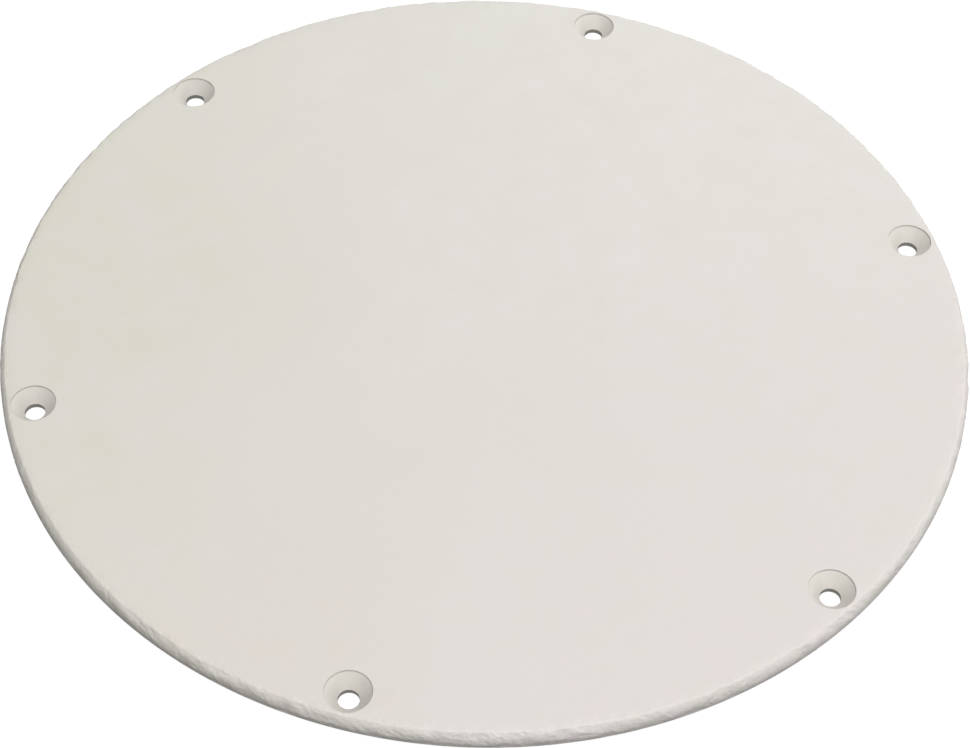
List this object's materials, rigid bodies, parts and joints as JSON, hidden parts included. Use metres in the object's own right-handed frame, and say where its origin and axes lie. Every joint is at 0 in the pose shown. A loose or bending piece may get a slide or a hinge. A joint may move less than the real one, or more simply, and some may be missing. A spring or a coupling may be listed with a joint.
{
  "type": "deck inspection plate",
  "caption": "Round flat off-white plastic plate with rounded rim and a ring of countersunk screw holes, for closing an inspection opening in a boat's deck.",
  "frame": {"origin": "centre of the plate's back, on the plane that lies on the deck", "axes": "+Z is the plate's axis and points out of the face, away from the deck; +X passes through the first screw hole"},
  "size_m": [0.2032, 0.2032, 0.004],
  "materials": {
    "plate_plastic": "matt off-white with a fine moulded grain"
  },
  "bodies": {
    "root": {"inspection_plate": "plate_plastic"}
  },
  "joints": []
}
